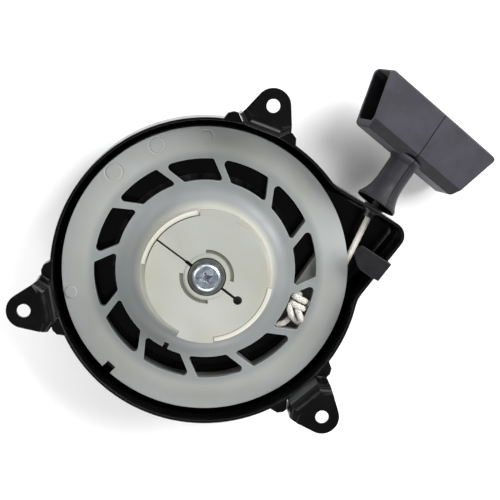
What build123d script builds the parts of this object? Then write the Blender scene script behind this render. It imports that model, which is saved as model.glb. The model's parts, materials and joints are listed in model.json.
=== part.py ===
"""Recoil (rewind) starter of a small engine, as an assembly of separate pieces.

Frame: millimetres. The origin is on the pulley's axis, in the plane of the three ears'
mounting faces. +Z points at the engine, so the open side of the pan faces up and its
closed back faces down. Angles are counted anticlockwise from +X, seen from +Z.
"""
from build123d import *
import os
from math import sin, cos, acos, atan2, radians, degrees, pi, hypot

# ---------------------------------------------------------------- pan (pressed steel)
SHEET = 1.4                     # thickness of the sheet
RIM_R = 82.4                    # outer radius of the pan's wall
RIM_Z = -20.9                   # free edge of the wall
FLOOR_Z = -49.5                 # inner face of the pan's floor
FLOOR_BEND_R = 5.0              # outer bend radius between wall and floor
WELL_R = 47.5                   # inner radius of the spring well in the floor
WELL_Z = -62.1                  # inner face of the well's floor
WELL_BEND_R = 3.0
SEAT_R = 12.6                   # raised seat of the centre post in the well
SEAT_Z = -60.3
BACK_Z = WELL_Z - SHEET         # the face that the starter rests on

# ears: tabs on short legs that stand up from the rim
EAR_ANGLES = (69.1, 189.1, 309.1)
BOLT_CIRCLE_R = 95.26           # 165 mm from hole to hole
EAR_HOLE_R = 3.5
EAR_TIP_R = 9.1
LEG_BEND_R = 6.0                # bend between a leg and its tab
LEG_FACE_R = 81.0               # inner face of a leg's middle panel
LEG_HALF_W = 9.2                # half width of that panel
LEG_SIDE_OUT = 86.4             # radial reach of the leg's side panels
LEG_SIDE_T = 14.8
SHOULDER_T = 20.8               # where the leg's foot runs out into the rim
SHOULDER_R = 83.4
SHOULDER_DEPTH = 7.0

# rope box: a corner pressed out of the pan's side
EXIT_NORMAL = 58.4              # outward normal of the wall that the rope leaves through
EXIT_WALL = 75.2                # its distance from the axis
SIDE_NORMAL = -38.1             # outward normal of the box's other wall
SIDE_WALL = 73.2
BOX_CORNER_R = 7.5
BOX_BLEND_R = 16.0
EXIT_T = 60.3                   # eyelet's place along the exit wall
EXIT_Z = -33.5
EYELET_BORE_R, EYELET_TUBE_R, EYELET_LIP_R, EYELET_LIP_T = 2.9, 3.9, 5.6, 1.0
EYELET_SLEEVE = 4.2             # the eyelet's reach inside the wall

# guide clip, hooked over the box's side wall
CLIP_T = 2.2
CLIP_OUTER_LEG, CLIP_INNER_LEG = 16.0, 22.0
CLIP_LOW, CLIP_HIGH = 52.6, 64.0          # its ends along the side wall

# ---------------------------------------------------------------- centre
POST_R = 7.0
POST_TOP = -18.0
POST_FLANGE_R, POST_FLANGE_T = 10.0, 1.2
POST_BORE_R, POST_BORE_Z = 2.6, -43.0     # threaded hole for the screw, and its blind end
TAIL_R = 4.0                    # the post's peened tail, through the pan
WASHER_R, WASHER_T = 8.0, 0.8   # backing washer on the closed side
RIVET_R, RIVET_T = 6.0, 0.9     # head peened over the washer
COLLAR_R, COLLAR_STEP_R, COLLAR_STEP_T = 6.6, 8.6, 1.2
COLLAR_BORE_R = 3.15
COLLAR_TOP = -9.4
SCREW_SEAT = -8.6               # underside of the screw's head, on its washer
SCREW_WASHER_R = 9.5
SCREW_HEAD_R = 7.7
SCREW_HEAD_H = 3.4
SCREW_R, SCREW_END = 2.55, -40.0
RECESS_HALF_W, RECESS_DEPTH, RECESS_ARM_T = 3.6, 2.4, 0.65
RECESS_TURN = 20.0
WIRE_R, WIRE_COIL_R = 0.7, 8.75 # the plate's friction spring
WIRE_PITCH, WIRE_TURNS = 1.7, 2.75
RUN_FIT = 0.06                  # radial running clearance on the post

# ---------------------------------------------------------------- pulley (nylon)
FLANGE_R = 77.0
FRONT_Z = -32.0                 # front face of the pulley
BACK_FACE_Z = -48.0
DRUM_R = 62.3                   # the rope winds on this
GROOVE_TOP = -34.3
GROOVE_BOTTOM = -45.7
WINDOW_IN, WINDOW_OUT = 48.3, 60.0
WINDOWS = 12
WINDOW_PITCH = 360.0 / WINDOWS
WINDOW_START, WINDOW_END = 21.6, 47.1     # edges of the first window, at WINDOW_MID_R
WINDOW_MID_R = 54.0
START_SLANT, END_SLANT = 0.65, 0.72       # degrees per mm of radius
KNOT_WINDOW, RAMP_WINDOW = 10, 11
KNOT_ANGLE, KNOT_R, KNOT_Z = 337.5, 54.6, -36.0
HOLE_ANGLE = 343.0              # the rope's hole through the drum's wall
POCKET_Z = -41.0                # floor of the knot's pocket
WEB_T = 4.6                     # the web round the windows
DRUM_T = 1.6                    # the drum's wall
POCKET_WALL = 1.8               # walls of the knot's pocket
HUB_R = 35.0
HUB_IN_R = 32.6
HUB_TOP = -10.2
CUP_FLOOR = -18.5
BOSS_R = 12.0
BOSS_BOTTOM = -58.8
RIBS, RIB_T = 6, 1.8            # ribs behind the web
OUTLETS = ((348.0, 456.0), (168.0, 276.0))      # gaps in the hub's wall, in degrees
NUB_ANGLE, NUB_AT, NUB_R = 189.0, 73.2, 3.1
EDGE_NOTCH_ANGLE, EDGE_NOTCH_W, EDGE_NOTCH_D = 225.2, 5.5, 4.4
INNER_NOTCH_ANGLE, INNER_NOTCH_W, INNER_NOTCH_D = 242.4, 3.0, 3.0
MARKS = ((89.4, 71.0, 4.3), (110.6, 71.6, 4.7), (132.4, 71.6, 5.1))   # angle, radius, size

# ---------------------------------------------------------------- pawls and their plate
PLATE_TOP, PLATE_T = -9.1, 2.0
PLATE_R = 32.2
PLATE_BORE = 10.1
PLATE_SKIRT_R, PLATE_SKIRT_H = 11.6, 4.0
LUG_AT, LUG_R, LUG_TURN = 20.6, 1.7, 26.0 # cam lugs under the plate
LOBE_R = 35.4
LOBES = ((60.0, 95.4), (243.0, 275.4))
SLIT_ANGLE = 142.5
KEYHOLE_AT, KEYHOLE_R = 20.6, 2.35
PLATE_SLOTS = ((-12.0, 91.0), (171.0, 272.0))
PLATE_SLOT_R, PLATE_SLOT_W = 13.3, 2.0
PAWL_PIVOT_R = 27.6
PAWL_PIVOT_ANGLES = (350.0, 170.0)
PAWL_PIN_R = 2.5
PAWL_Z = (-18.1, -12.4)
PAWL_TIP_ANGLE = 52.0           # from the pivot round to the tip
PAWL_EYE_R = 4.4
PAWL_OUT_R, PAWL_IN_R, PAWL_ROOT_R = 31.4, 25.6, 24.4
PIN_FIT = 0.08

# ---------------------------------------------------------------- rope
ROPE_R = 1.75
TURN_PITCH = 3.7
LAYER_1 = DRUM_R + 0.1 + ROPE_R
LAYER_2 = LAYER_1 + 3.2
COIL_MID = (GROOVE_TOP + GROOVE_BOTTOM) / 2
RUN_R = LAYER_2 + 0.55          # the rope leaves the coil at this radius
RUN_Z = COIL_MID + 1.75

# ---------------------------------------------------------------- rewind spring
SPRING_T = 0.6
SPRING_Z = (-60.0, -51.0)
SPRING_IN, SPRING_OUT = 13.4, 45.6
SPRING_TURNS = 9
SLOT_ANGLE = 130.0              # where both ends of the strip are hooked
SPRING_TANG = 2.0               # the outer end's reach past the well's wall
COVER_T = 0.6                   # sheet that closes the spring well

# ---------------------------------------------------------------- handle
STEM_DIR_ANGLE = 54.2           # direction of the stem in plan
STEM_DROOP = 9.7                # its fall towards the closed back
BAR_ROLL = 17.1                 # turn of the bar about the stem
STEM_BASE_OUT = 77.8            # the stem's foot, from the axis, along the exit normal
STEM_BASE_T = 60.0
STEM_BASE_Z = EXIT_Z + 0.6
STEM_LEN = 28.5
STEM_R, STEM_FOOT_R = 7.8, 11.4
STEM_BORE_R = 2.3
BAR_H = 31.8                    # along the stem
BAR_T = 19.0
BAR_FAR, BAR_NEAR = 83.7, 64.8  # the bar's length at its outer and its stem side
FRONT_CHAMFER = (4.2, 5.2)      # stem-side long edge of the broad face: across, along the stem
BACK_CHAMFER = (1.5, 1.5)
CREST_CHAMFER, BACK_CREST_CHAMFER = 1.0, 3.5    # long edges furthest from the stem
FOOT_DISH_R, FOOT_DISH_D = 8.8, 1.2
BAR_CORNER_R = 2.2
GRIP_WALL = 1.7
HOLLOW_CHAMFER = 2.0            # along the hollow's two edges nearest the stem
GRIP_FLOOR = 3.6                # wall between the stem and the hollow
INSERT_L, INSERT_T, INSERT_W = 16.0, 2.0, 8.2
KNOT_GAP = 2.1                  # from the hollow's floor to the knot's seat
KNOT_HALF = 4.6                 # from the knot's seat to its middle
LEAD_BACK = 1.0                 # the free rope starts this far inside the stem's foot
SEAM_W, SEAM_D = 0.5, 0.35      # mould parting line


# ---------------------------------------------------------------- small helpers
def polar(r, angle, z=0.0):
    return Vector(r * cos(radians(angle)), r * sin(radians(angle)), z)


def tube(r_out, r_in, z0, z1):
    ring = Circle(r_out) - Circle(r_in) if r_in > 0 else Circle(r_out)
    return Pos(0, 0, z0) * extrude(ring, z1 - z0)


def sector(r_in, r_out, a0, a1, z0, z1):
    """A piece of a ring between two angles."""
    mid = (a0 + a1) / 2
    edge = Polyline(polar(r_in, a0), polar(r_out, a0))
    outer = ThreePointArc(polar(r_out, a0), polar(r_out, mid), polar(r_out, a1))
    back = Polyline(polar(r_out, a1), polar(r_in, a1))
    inner = ThreePointArc(polar(r_in, a1), polar(r_in, mid), polar(r_in, a0))
    return Pos(0, 0, z0) * extrude(make_face(edge + outer + back + inner), z1 - z0)


def prism(points, z0, z1):
    return Pos(0, 0, z0) * extrude(make_face(Polyline(*points, close=True)), z1 - z0)


def rod(start, end, radius):
    start, end = Vector(*start), Vector(*end)
    along = end - start
    place = Plane(origin=start, z_dir=along)
    return place * Pos(0, 0, along.length / 2) * Cylinder(radius, along.length)


def exit_frame():
    """Unit vectors out of the exit wall and along it."""
    a = radians(EXIT_NORMAL)
    return Vector(cos(a), sin(a), 0), Vector(sin(a), -cos(a), 0)


def handle_plane():
    """Local frame of the handle: X along the bar, Y along the stem, Z out of the broad face."""
    a, d, f = radians(STEM_DIR_ANGLE), radians(STEM_DROOP), radians(BAR_ROLL)
    out, along = exit_frame()
    origin = out * STEM_BASE_OUT + along * STEM_BASE_T + Vector(0, 0, STEM_BASE_Z)
    level = Vector(sin(a), -cos(a), 0)
    up = Vector(cos(a) * sin(d), sin(a) * sin(d), cos(d))
    bar = level * cos(f) - up * sin(f)
    face = up * cos(f) + level * sin(f)
    return Plane(origin=origin, x_dir=bar, z_dir=face)


# ---------------------------------------------------------------- housing
def box_outline(inset):
    """Plan of the pressed-out corner, drawn as two straight walls that meet in an arc."""
    n1, n2 = radians(EXIT_NORMAL), radians(SIDE_NORMAL)
    d1, d2 = EXIT_WALL - inset, SIDE_WALL - inset
    det = cos(n1) * sin(n2) - sin(n1) * cos(n2)
    corner = Vector((d1 * sin(n2) - d2 * sin(n1)) / det, (d2 * cos(n1) - d1 * cos(n2)) / det)
    r = RIM_R - inset
    start = polar(r, EXIT_NORMAL - degrees(acos(d1 / r)))
    end = polar(r, SIDE_NORMAL + degrees(acos(d2 / r)))
    inner_a, inner_b = polar(r * 0.7, 30), polar(r * 0.7, -15)
    face = make_face(Polyline(start, corner, end, inner_b, inner_a, close=True))
    sharp = face.vertices().sort_by_distance(corner)[0]
    return fillet(sharp, BOX_CORNER_R - inset)


def pan_plan(inset):
    plan = Circle(RIM_R - inset) + box_outline(inset)
    corners = plan.vertices().filter_by(lambda v: abs(hypot(v.X, v.Y) - RIM_R + inset) < 0.05
                                        and -30 < degrees(atan2(v.Y, v.X)) < 50
                                        and abs(v.Y) > 1)
    return fillet(corners, BOX_BLEND_R + inset)


def pan():
    """Drawn pan with the spring well and the post's raised seat."""
    outer = Pos(0, 0, FLOOR_Z - SHEET) * extrude(pan_plan(0), RIM_Z - FLOOR_Z + SHEET)
    outer = fillet(outer.faces().sort_by(Axis.Z)[0].edges(), FLOOR_BEND_R)
    inner = Pos(0, 0, FLOOR_Z) * extrude(pan_plan(SHEET), RIM_Z - FLOOR_Z + 5)
    inner = fillet(inner.faces().sort_by(Axis.Z)[0].edges(), FLOOR_BEND_R - SHEET)
    well_out = tube(WELL_R + SHEET, 0, BACK_Z, FLOOR_Z - 0.2)
    well_out = fillet(well_out.faces().sort_by(Axis.Z)[0].edges(), WELL_BEND_R)
    well_in = tube(WELL_R, 0, WELL_Z, FLOOR_Z + 1)
    well_in = fillet(well_in.faces().sort_by(Axis.Z)[0].edges(), WELL_BEND_R - SHEET)
    shell = outer + well_out - inner - well_in
    seat_out = Pos(0, 0, WELL_Z) * Cone(SEAT_R + 2, SEAT_R, SEAT_Z - WELL_Z,
                                        align=(Align.CENTER, Align.CENTER, Align.MIN))
    seat_in = Pos(0, 0, BACK_Z) * Cone(SEAT_R + 0.6, SEAT_R - 1.4, SEAT_Z - WELL_Z,
                                       align=(Align.CENTER, Align.CENTER, Align.MIN))
    return shell + seat_out - seat_in


def leg_sheet():
    """Side view of a leg's sheet: up the wall, round the bend and out under the tab."""
    foot = RIM_Z - 1.0
    outer, inner = LEG_BEND_R, LEG_BEND_R - SHEET
    reach = LEG_BEND_R + 1.5
    quarter = sin(pi / 4)
    line = Polyline((0, foot), (0, -outer))
    bend = ThreePointArc((0, -outer), (outer - outer * quarter, -outer + outer * quarter),
                         (outer, 0))
    top = Polyline((outer, 0), (reach, 0), (reach, -SHEET), (outer, -SHEET))
    under = ThreePointArc((outer, -SHEET), (outer - inner * quarter, -outer + inner * quarter),
                          (SHEET, -outer))
    back = Polyline((SHEET, -outer), (SHEET, foot), (0, foot))
    return make_face(line + bend + top + under + back)


def ear():
    """One ear on +X: a three-sided leg under a rounded tab."""
    path = Polyline((LEG_SIDE_OUT, -LEG_SIDE_T), (LEG_FACE_R, -LEG_HALF_W),
                    (LEG_FACE_R, LEG_HALF_W), (LEG_SIDE_OUT, LEG_SIDE_T))
    start = path @ 0
    along = path % 0
    side = Plane(origin=start, x_dir=along.cross(Vector(0, 0, 1)), z_dir=along * -1)
    leg = sweep(side * leg_sheet(), path=path, transition=Transition.RIGHT)
    tab_in = LEG_FACE_R + LEG_BEND_R
    half = LEG_HALF_W - 0.4
    tab = prism([(tab_in, -half), (LEG_SIDE_OUT + 4, -LEG_SIDE_T), (BOLT_CIRCLE_R + 12, -LEG_SIDE_T),
                 (BOLT_CIRCLE_R + 12, LEG_SIDE_T), (LEG_SIDE_OUT + 4, LEG_SIDE_T),
                 (tab_in, half)], -SHEET, 0)
    foot_r = LEG_SIDE_OUT - 1.0
    lean = degrees(acos(EAR_TIP_R / hypot(BOLT_CIRCLE_R - foot_r, LEG_SIDE_T - 0.8)))
    point = degrees(atan2(LEG_SIDE_T - 0.8, foot_r - BOLT_CIRCLE_R))
    touch = Vector(BOLT_CIRCLE_R + EAR_TIP_R * cos(radians(point - lean)),
                   EAR_TIP_R * sin(radians(point - lean)))
    edge = [(touch.X, touch.Y), (foot_r, LEG_SIDE_T - 0.8), (70, LEG_SIDE_T - 0.8)]
    outline = edge + [(x, -y) for x, y in reversed(edge)]
    trim = prism(outline, RIM_Z - 2, 1) + Pos(BOLT_CIRCLE_R, 0, RIM_Z - 2) * extrude(
        Circle(EAR_TIP_R), 3 - RIM_Z)
    body = (leg + tab) & trim
    return body - Pos(BOLT_CIRCLE_R, 0, -5) * extrude(Circle(EAR_HOLE_R), 10)


def shoulder(hand):
    """The formed foot beside a leg, which runs out into the rim."""
    root = 80.9
    end = polar(RIM_R - 0.6, degrees(SHOULDER_T / RIM_R))
    plan = [(root, LEG_HALF_W + 0.6), (LEG_SIDE_OUT - 1.0, LEG_SIDE_T - 0.8),
            (LEG_SIDE_OUT - 1.2, LEG_SIDE_T + 1.6), (SHOULDER_R, SHOULDER_T - 1.8),
            (end.X, end.Y), (end.X - 0.7, end.Y - 0.2)]
    block = prism([(x, hand * y) for x, y in plan], RIM_Z - SHOULDER_DEPTH, RIM_Z + 1.5)
    slope = Plane(origin=(RIM_R, 0, RIM_Z - SHOULDER_DEPTH), z_dir=(1, 0, -0.75))
    return split(block, slope, keep=Keep.BOTTOM)


def housing():
    """The pan with its three ears, the eyelet's hole, the post's hole and the spring's slot."""
    body = pan()
    for angle in EAR_ANGLES:
        piece = ear() + shoulder(1) + shoulder(-1)
        body = body + Rot(0, 0, angle) * piece
    body = body - tube(RIM_R - SHEET, LEG_FACE_R - 4, RIM_Z - 12, RIM_Z)
    out, along = exit_frame()
    hole = Plane(origin=out * EXIT_WALL + along * EXIT_T + Vector(0, 0, EXIT_Z), z_dir=out)
    body = body - hole * Cylinder(EYELET_TUBE_R + 0.05, 8)
    body = body - tube(TAIL_R + 0.05, 0, BACK_Z - 1, SEAT_Z + 1)
    return body - spring_slot()


def spring_slot():
    """Slot in the well's wall that the spring's outer end is hooked through."""
    z_mid = (SPRING_Z[0] + SPRING_Z[1]) / 2
    slot = Pos(WELL_R + SHEET / 2, 0, z_mid) * Box(SHEET * 3, 2.2, SPRING_Z[1] - SPRING_Z[0] + 0.8)
    return Rot(0, 0, SLOT_ANGLE) * slot


# ---------------------------------------------------------------- fixed centre pieces
def center_post():
    """Flanged post on the pan's seat, its tail through the sheet, bored for the screw."""
    body = tube(POST_R, 0, SEAT_Z, POST_TOP)
    body = body + tube(POST_FLANGE_R, 0, SEAT_Z, SEAT_Z + POST_FLANGE_T)
    body = body + tube(TAIL_R, 0, SEAT_Z - SHEET, SEAT_Z)
    return body - tube(POST_BORE_R, 0, POST_BORE_Z, POST_TOP + 1)


def post_washer():
    """Backing washer on the closed side, under the peened tail."""
    top = SEAT_Z - SHEET
    return tube(WASHER_R, TAIL_R + 0.05, top - WASHER_T, top)


def post_rivet():
    """The post's peened tail, closed over the washer."""
    top = SEAT_Z - SHEET
    seat = top - WASHER_T
    head = tube(RIVET_R, 0, seat - RIVET_T, seat)
    head = fillet(head.faces().sort_by(Axis.Z)[0].edges(), 0.7)
    return head + tube(TAIL_R, 0, seat, top)


def friction_collar():
    """Stepped steel bush that the screw clamps on the post; the plate's spring grips it."""
    body = tube(COLLAR_R, COLLAR_BORE_R, POST_TOP, COLLAR_TOP)
    return body + tube(COLLAR_STEP_R, COLLAR_BORE_R, POST_TOP, POST_TOP + COLLAR_STEP_T)


def friction_spring():
    """Wire spring, coiled between the collar and the plate's skirt, that drags the plate."""
    start = POST_TOP + COLLAR_STEP_T + WIRE_R + 0.2
    path = Pos(0, 0, start) * Helix(WIRE_PITCH, WIRE_PITCH * WIRE_TURNS, WIRE_COIL_R)
    section = Plane(origin=path @ 0, z_dir=path % 0) * Circle(WIRE_R)
    return sweep(section, path=path)


def screw_washer():
    """Flat washer between the screw's head and the collar, inside the plate's bore."""
    return tube(SCREW_WASHER_R, COLLAR_BORE_R, COLLAR_TOP, SCREW_SEAT)


def center_screw():
    """Pan-head screw with a cross recess, its shank down the post's hole."""
    top = SCREW_SEAT + SCREW_HEAD_H
    head = tube(SCREW_HEAD_R, 0, SCREW_SEAT, top)
    head = fillet(head.faces().sort_by(Axis.Z)[-1].edges(), 2.2)
    head = fillet(head.faces().sort_by(Axis.Z)[0].edges(), 0.3)
    upward = (Align.CENTER, Align.CENTER, Align.MIN)
    shank = tube(SCREW_R, 0, SCREW_END, SCREW_SEAT)
    tip = Pos(0, 0, SCREW_END - 1.2) * Cone(SCREW_R - 1, SCREW_R, 1.2, align=upward)
    foot = RECESS_HALF_W - RECESS_DEPTH
    wing = Polyline((-RECESS_HALF_W, 0.2), (RECESS_HALF_W, 0.2), (foot, -RECESS_DEPTH),
                    (-foot, -RECESS_DEPTH), close=True)
    recess = Pos(0, 0, top - RECESS_DEPTH) * Cone(1.2, 1.9, RECESS_DEPTH + 0.2, align=upward)
    for turn in (RECESS_TURN, RECESS_TURN + 90):
        blade = extrude(Plane.XZ * make_face(wing), RECESS_ARM_T, both=True)
        recess = recess + Pos(0, 0, top) * Rot(0, 0, turn) * blade
    return head + shank + tip - recess


def rope_eyelet():
    """Rolled eyelet in the exit wall, its mouth rounded for the rope."""
    out, along = exit_frame()
    place = Plane(origin=out * EXIT_WALL + along * EXIT_T + Vector(0, 0, EXIT_Z), z_dir=out)
    body = tube(EYELET_TUBE_R, 0, -SHEET - EYELET_SLEEVE, EYELET_LIP_T)
    body = body + tube(EYELET_LIP_R, 0, -SHEET - EYELET_LIP_T, -SHEET)
    body = body + tube(EYELET_LIP_R, 0, 0, EYELET_LIP_T)
    body = body - tube(EYELET_BORE_R, 0, -20, 20)
    mouths = body.edges().filter_by(GeomType.CIRCLE).filter_by(
        lambda e: abs(e.radius - EYELET_BORE_R) < 0.01)
    return place * fillet(mouths, 0.6)


def rope_guide_clip():
    """Plastic guide hooked over the box's side wall; its rounded nose steers the rope."""
    a = radians(SIDE_NORMAL)
    place = Plane(origin=(SIDE_WALL * cos(a), SIDE_WALL * sin(a), 0), x_dir=(cos(a), sin(a), 0),
                  z_dir=(0, 0, 1))
    # local X runs out of the side wall, local Y along it towards the exit wall
    low, high = CLIP_LOW, CLIP_HIGH
    nose_tip, nose_foot, belly = (-16.9, 62.5), (-18.2, 57.2), (-10.6, 51.5)
    plan = make_face(Polyline((CLIP_T, low), (CLIP_T, high), nose_tip, nose_foot, belly,
                              (-3.0, 51.7), close=True))
    for corner, radius in ((nose_tip, 2.0), (nose_foot, 3.2), (belly, 5.0)):
        plan = fillet(plan.vertices().sort_by_distance(Vector(*corner))[0], radius)
    top = Pos(0, 0, RIM_Z) * extrude(plan, CLIP_T)
    top = fillet(top.faces().sort_by(Axis.Z)[-1].edges(), 0.4)
    outer = Pos(CLIP_T / 2, (low + high) / 2, RIM_Z - CLIP_OUTER_LEG / 2) * Box(
        CLIP_T, high - low, CLIP_OUTER_LEG)
    gap = SHEET + 0.05
    inner_plan = Polyline((-gap, low + 1.0), (-gap, high - 1.4), (-9.0, high - 2.2),
                          (-12.2, high - 4.6), (-11.2, high - 8.0), (-5.0, low + 1.0), close=True)
    inner = Pos(0, 0, RIM_Z - CLIP_INNER_LEG) * extrude(make_face(inner_plan), CLIP_INNER_LEG)
    return place * (top + outer + inner)


# ---------------------------------------------------------------- rope
def eyelet_point(depth):
    out, along = exit_frame()
    return out * (EXIT_WALL + depth) + along * EXIT_T + Vector(0, 0, EXIT_Z)


def run_start():
    """Point where the rope leaves the wound coil, on its right-hand side."""
    mouth = eyelet_point(-3.0)
    far = hypot(mouth.X, mouth.Y)
    angle = degrees(atan2(mouth.Y, mouth.X)) - degrees(acos(RUN_R / far))
    return polar(RUN_R, angle, RUN_Z)


def rope_run():
    """Straight rope inside the pan, from the coil to the eyelet."""
    return rod(run_start(), eyelet_point(-SHEET / 2 - 0.4), ROPE_R)


def rope_coil():
    """The wound turns in the groove: three side by side and one on top of them."""
    turns = [Pos(0, 0, COIL_MID + k * TURN_PITCH) * Torus(LAYER_1, ROPE_R) for k in (-1, 0, 1)]
    turns.append(Pos(0, 0, COIL_MID - 2.1) * Torus(LAYER_2, ROPE_R))
    return Compound(children=turns)


def knot(loop_r):
    """A stopper knot as three loops of rope leaning across each other."""
    first = Rot(0, 62, 0) * Torus(loop_r, ROPE_R)
    second = Pos(1.6, 0.5, 0.3) * Rot(24, 70, 0) * Torus(loop_r, ROPE_R)
    third = Pos(-1.4, -0.4, -0.2) * Rot(-22, 58, 0) * Torus(loop_r, ROPE_R)
    return first + second + third


def knot_hole():
    """Axis of the rope's hole through the drum's wall, from the knot outwards."""
    return polar(KNOT_R, KNOT_ANGLE, KNOT_Z), polar(DRUM_R + 1, HOLE_ANGLE, KNOT_Z - 1.0)


def rope_inner_knot():
    """Knot in the pulley's pocket, with its tail and the stub through the drum's wall."""
    centre, outside = knot_hole()
    body = Pos(*centre) * Rot(0, 0, KNOT_ANGLE + 60) * knot(2.3)
    tail = rod(centre, polar(51.2, 327.5, KNOT_Z + 1.0), ROPE_R)
    stub = rod(centre, centre + (outside - centre) * 0.66, ROPE_R)
    return body + tail + stub


def rope_lead():
    """Rope through the stem, from its foot to the knot's seat."""
    place = handle_plane()
    start = place.origin - place.y_dir * LEAD_BACK
    end = place.origin + place.y_dir * (STEM_LEN + GRIP_FLOOR + KNOT_GAP)
    return rod(start, end, ROPE_R)


def rope_outer_knot():
    """Stopper knot on the retainer in the grip, with its short tail."""
    middle = STEM_LEN + GRIP_FLOOR + KNOT_GAP + KNOT_HALF
    body = Rot(0, 0, 90) * knot(2.4) + rod((0, 0, 0), (2.2, 6.5, 1.0), ROPE_R)
    body = body + rod((0, -KNOT_HALF, 0), (0, 0, 0), ROPE_R)
    below_seat = Pos(0, -KNOT_HALF - 5, 0) * Box(20, 10, 20)
    return handle_plane() * Pos(0, middle, 0) * (body - below_seat)


# ---------------------------------------------------------------- rewind spring
def spring_radii():
    """Radii where the strip crosses the X axis, closer together towards the outside."""
    count = SPRING_TURNS * 2
    return [SPRING_IN + (SPRING_OUT - SPRING_IN) * (k / count) ** 0.62 for k in range(count + 1)]


def spiral_edge(radii, grow):
    """One side of the strip, as half circles that step inwards to outwards."""
    edge = Curve()
    for k in range(len(radii) - 1):
        sign = 1 if k % 2 == 0 else -1
        a, b = radii[k], radii[k + 1]
        edge = edge + ThreePointArc((sign * (a + grow), 0),
                                    (sign * (a - b) / 2, sign * ((a + b) / 2 + grow)),
                                    (-sign * (b + grow), 0))
    return edge


def rewind_spring():
    """Flat spiral strip: inner end hooked in the pulley's boss, outer end in the well's slot."""
    radii = spring_radii()
    first, last = radii[0], radii[-1]
    ends = Polyline((first, 0), (first + SPRING_T, 0)) + Polyline((last, 0), (last + SPRING_T, 0))
    strip = make_face(spiral_edge(radii, 0.0) + spiral_edge(radii, SPRING_T) + ends)
    height = SPRING_Z[1] - SPRING_Z[0]
    z_mid = SPRING_Z[0] + height / 2
    body = Pos(0, 0, SPRING_Z[0]) * extrude(strip, height)
    hook = Pos(SPRING_IN - 1.3, SPRING_T / 2, z_mid) * Box(3.2, SPRING_T, height)
    tang_end = WELL_R + SHEET + SPRING_TANG
    tang = Pos((SPRING_OUT + tang_end) / 2, SPRING_T / 2, z_mid) * Box(
        tang_end - SPRING_OUT, SPRING_T, height)
    return Rot(0, 0, SLOT_ANGLE) * (body + hook + tang)


def spring_cover():
    """Thin steel plate that keeps the spring in its well when the pulley is lifted off."""
    return tube(WELL_R + 3.0, BOSS_R + 1.0, FLOOR_Z, FLOOR_Z + COVER_T)


# ---------------------------------------------------------------- pulley
def pulley_section():
    """Half section of the pulley, as radius against height."""
    fillet_mid = (37.6, -28.4)
    web_in = FRONT_Z - WEB_T
    drum_in = DRUM_R - DRUM_T
    inside = Polyline((BOSS_R, CUP_FLOOR - 3), (29.5, CUP_FLOOR - 3), (33.6, web_in),
                      (drum_in, web_in), (drum_in, BACK_FACE_Z))
    bore = Polyline((BOSS_R, CUP_FLOOR - 3), (BOSS_R, BOSS_BOTTOM),
                    (POST_R + RUN_FIT, BOSS_BOTTOM), (POST_R + RUN_FIT, CUP_FLOOR),
                    (HUB_IN_R, CUP_FLOOR), (HUB_IN_R, HUB_TOP), (HUB_R, HUB_TOP), (HUB_R, -18.0))
    sweep_out = ThreePointArc((HUB_R, -18.0), fillet_mid, (46.5, FRONT_Z))
    rim = Polyline((46.5, FRONT_Z), (FLANGE_R, FRONT_Z), (FLANGE_R, FRONT_Z - 1.6),
                   (DRUM_R, GROOVE_TOP), (DRUM_R, GROOVE_BOTTOM), (FLANGE_R, BACK_FACE_Z + 1.6),
                   (FLANGE_R, BACK_FACE_Z), (drum_in, BACK_FACE_Z))
    return Plane.XZ * make_face(inside + bore + sweep_out + rim)


def window_plan(index):
    turn = index * WINDOW_PITCH
    lo, hi = WINDOW_IN, WINDOW_OUT
    start = [WINDOW_START + turn + START_SLANT * (r - WINDOW_MID_R) for r in (lo, hi)]
    end = [WINDOW_END + turn + END_SLANT * (r - WINDOW_MID_R) for r in (lo, hi)]
    side_a = Polyline(polar(lo, start[0]), polar(hi, start[1]))
    far = ThreePointArc(polar(hi, start[1]), polar(hi, (start[1] + end[1]) / 2), polar(hi, end[1]))
    side_b = Polyline(polar(hi, end[1]), polar(lo, end[0]))
    near = ThreePointArc(polar(lo, end[0]), polar(lo, (start[0] + end[0]) / 2), polar(lo, start[0]))
    face = make_face(side_a + far + side_b + near)
    tight = [face.vertices().sort_by_distance(polar(lo, start[0]))[0],
             face.vertices().sort_by_distance(polar(lo, end[0]))[0],
             face.vertices().sort_by_distance(polar(hi, start[1]))[0]]
    face = fillet(tight, 1.5)
    round_one = face.vertices().sort_by_distance(polar(hi, end[1]))
    return fillet(round_one[0], 2.2)


def windows():
    """Openings through the web; the knot's one is only a pocket."""
    cuts = Part()
    for index in range(WINDOWS):
        floor = POCKET_Z if index == KNOT_WINDOW else BACK_FACE_Z - 1
        cuts = cuts + Pos(0, 0, floor) * extrude(window_plan(index), FRONT_Z + 1 - floor)
    return cuts


def rope_ramp():
    """Wedge in one window's corner, over the rope's way to the knot."""
    corner = WINDOW_START + RAMP_WINDOW * WINDOW_PITCH - 360
    plan = [polar(49.4, corner - 3.4), polar(60.8, corner + 4.0), polar(60.8, corner + 15.0)]
    return prism([(p.X, p.Y) for p in plan], BACK_FACE_Z + 2, FRONT_Z - WEB_T)


def knot_pocket():
    """Block behind the web that the knot's pocket is sunk in."""
    turn = KNOT_WINDOW * WINDOW_PITCH
    start, end = WINDOW_START + turn - 7.5, WINDOW_END + turn + 7.5
    return sector(WINDOW_IN - POCKET_WALL, DRUM_R - DRUM_T + 0.1, start, end,
                  POCKET_Z - POCKET_WALL, FRONT_Z - WEB_T + 0.1)


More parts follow.
